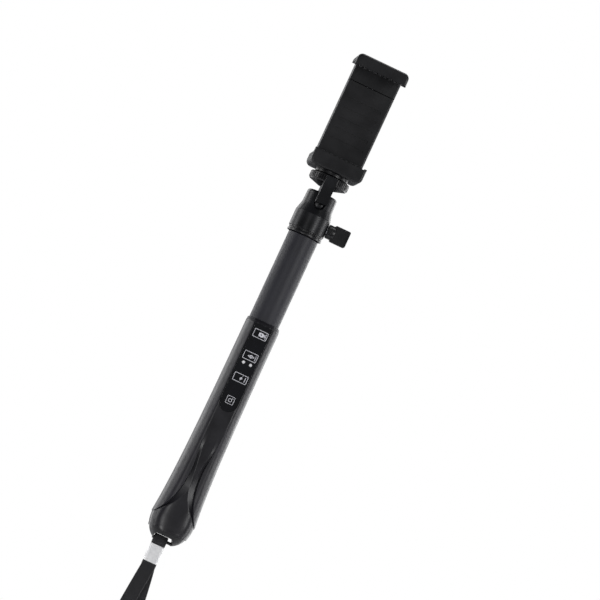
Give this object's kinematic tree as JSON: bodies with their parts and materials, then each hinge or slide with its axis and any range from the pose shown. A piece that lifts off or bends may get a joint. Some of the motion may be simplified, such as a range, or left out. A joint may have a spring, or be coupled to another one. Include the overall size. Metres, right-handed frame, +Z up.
{
  "type": "selfie stick",
  "caption": "Selfie stick with a button handle, slate telescopic tube, ball head, sprung phone clamp and a wrist strap on a metal crimp",
  "frame": {"origin": "Middle of the hand grip, on the telescopic tubes' axis", "axes": "+Z up along the stick toward the phone clamp, -Y toward the button panel and the phone's screen, +X toward the ball head's knob"},
  "size_m": [0.0419, 0.0455, 0.4767],
  "materials": {
    "black_shell": "satin, fine moulded texture",
    "soft_grip": "soft-touch matte",
    "smooth_black": "satin",
    "gloss_panel": "high gloss with white printed icons",
    "light_white": "clear white light pipes",
    "silicone": "matte silicone",
    "green_board": "solder mask",
    "chip_black": "matte",
    "foil": "crinkled pouch foil",
    "amber_flex": "polyimide film",
    "steel": "plated",
    "slate_tube": "matte slate powder coat",
    "bright_tube": "polished",
    "bush_nylon": "moulded nylon",
    "head_paint": "semi-gloss black anodised",
    "knob_black": "moulded, satin gloss",
    "clamp_black": "satin moulded",
    "pad_rubber": "matte, toothed",
    "brass": "machined",
    "crimp_metal": "polished folded sheet",
    "webbing": "flat woven nylon"
  },
  "bodies": {
    "handle": {"front_shell": "black_shell", "rear_shell": "black_shell", "left_grip": "soft_grip", "right_grip": "soft_grip", "end_cap": "smooth_black", "shell_screws": "steel", "button_panel": "gloss_panel", "key_membrane": "silicone", "circuit_board": "green_board", "dome_switches": "steel", "radio_chip": "chip_black", "light_pipes": "light_white", "battery": "foil", "battery_flex": "amber_flex", "charge_board": "green_board", "charge_flex": "amber_flex", "usb_socket": "steel", "switch_case": "steel", "tube_plug": "smooth_black", "outer_tube": "slate_tube", "bush_1": "bush_nylon"},
    "video_button": {"video_key": "gloss_panel"},
    "mirror_button": {"mirror_key": "gloss_panel"},
    "flash_button": {"flash_key": "gloss_panel"},
    "shutter_button": {"shutter_key": "gloss_panel"},
    "power_slider": {"switch_slider": "smooth_black"},
    "section_2": {"tube_2": "bright_tube", "bush_2": "bush_nylon", "tail_2": "bush_nylon"},
    "section_3": {"tube_3": "bright_tube", "bush_3": "bush_nylon", "tail_3": "bush_nylon"},
    "section_4": {"tube_4": "bright_tube", "bush_4": "bush_nylon", "tail_4": "bush_nylon"},
    "section_5": {"tube_5": "bright_tube", "tail_5": "bush_nylon"},
    "head": {"head_base": "smooth_black", "head_housing": "head_paint", "ball_seat": "bush_nylon", "seat_spring": "steel"},
    "clamping_screw": {"lock_screw": "steel", "friction_shoe": "brass"},
    "knob": {"lock_knob": "knob_black"},
    "ball": {"ball_stem": "head_paint"},
    "disc": {"lock_disc": "smooth_black"},
    "clamp": {"clamp_body": "clamp_black", "back_cover": "clamp_black", "cover_screws": "steel", "thread_insert": "brass", "lower_pad": "pad_rubber", "lower_spring_pin": "steel", "clamp_spring": "steel"},
    "jaw": {"upper_jaw": "clamp_black", "upper_pad": "pad_rubber", "upper_spring_pin": "steel"},
    "strap": {"strap_anchor": "webbing", "strap_crimp": "crimp_metal", "wrist_strap": "webbing"}
  },
  "joints": [
    {"name": "tube_2_slide", "type": "slide", "parent": "handle", "child": "section_2", "axis": [0, 0, 1], "range_m": [0, 0.13]},
    {"name": "tube_3_slide", "type": "slide", "parent": "section_2", "child": "section_3", "axis": [0, 0, 1], "range_m": [0, 0.13]},
    {"name": "tube_4_slide", "type": "slide", "parent": "section_3", "child": "section_4", "axis": [0, 0, 1], "range_m": [0, 0.13]},
    {"name": "tube_5_slide", "type": "slide", "parent": "section_4", "child": "section_5", "axis": [0, 0, 1], "range_m": [0, 0.13]},
    {"name": "head_pan", "type": "hinge", "parent": "section_5", "child": "head", "pos_m": [0, 0, 0.1423], "axis": [0, 0, 1], "continuous": true},
    {"name": "ball_tilt", "type": "hinge", "parent": "head", "child": "ball", "pos_m": [0, 0, 0.163], "axis": [1, 0, 0], "range_deg": [-15, 90]},
    {"name": "knob_turn", "type": "hinge", "parent": "head", "child": "knob", "pos_m": [0.0115, 0, 0.151], "axis": [1, 0, 0], "range_deg": [0, 270]},
    {"name": "lock_screw_advance", "type": "slide", "parent": "head", "child": "clamping_screw", "axis": [1, 0, 0], "range_m": [0, 0.000525]},
    {"name": "lock_disc_turn", "type": "hinge", "parent": "ball", "child": "disc", "pos_m": [0, 0, 0.178], "axis": [0, 0, 1], "range_deg": [-180, 180]},
    {"name": "clamp_turn", "type": "hinge", "parent": "ball", "child": "clamp", "pos_m": [0, 0, 0.183], "axis": [0, 0, 1], "range_deg": [-180, 180]},
    {"name": "jaw_slide", "type": "slide", "parent": "clamp", "child": "jaw", "axis": [0, 0, 1], "range_m": [0, 0.027], "stiffness_N_per_m": 220, "springref_m": -0.03, "deforming": ["clamp_spring"]},
    {"name": "video_press", "type": "slide", "parent": "handle", "child": "video_button", "axis": [0, 1, 0], "range_m": [0, 0.0004], "stiffness_N_per_m": 1500},
    {"name": "mirror_press", "type": "slide", "parent": "handle", "child": "mirror_button", "axis": [0, 1, 0], "range_m": [0, 0.0004], "stiffness_N_per_m": 1500},
    {"name": "flash_press", "type": "slide", "parent": "handle", "child": "flash_button", "axis": [0, 1, 0], "range_m": [0, 0.0004], "stiffness_N_per_m": 1500},
    {"name": "shutter_press", "type": "slide", "parent": "handle", "child": "shutter_button", "axis": [0, 1, 0], "range_m": [0, 0.0004], "stiffness_N_per_m": 1500},
    {"name": "power_slide", "type": "slide", "parent": "handle", "child": "power_slider", "axis": [1, 0, 0], "range_m": [0, 0.002]},
    {"name": "strap_swing", "type": "hinge", "parent": "handle", "child": "strap", "pos_m": [0, -0.00275, -0.0581], "axis": [1, 0, 0], "range_deg": [-70, 70]}
  ],
  "couplings": [
    {"joint": "knob_turn", "follows": "lock_screw_advance", "rad_per_m": 8976}
  ]
}
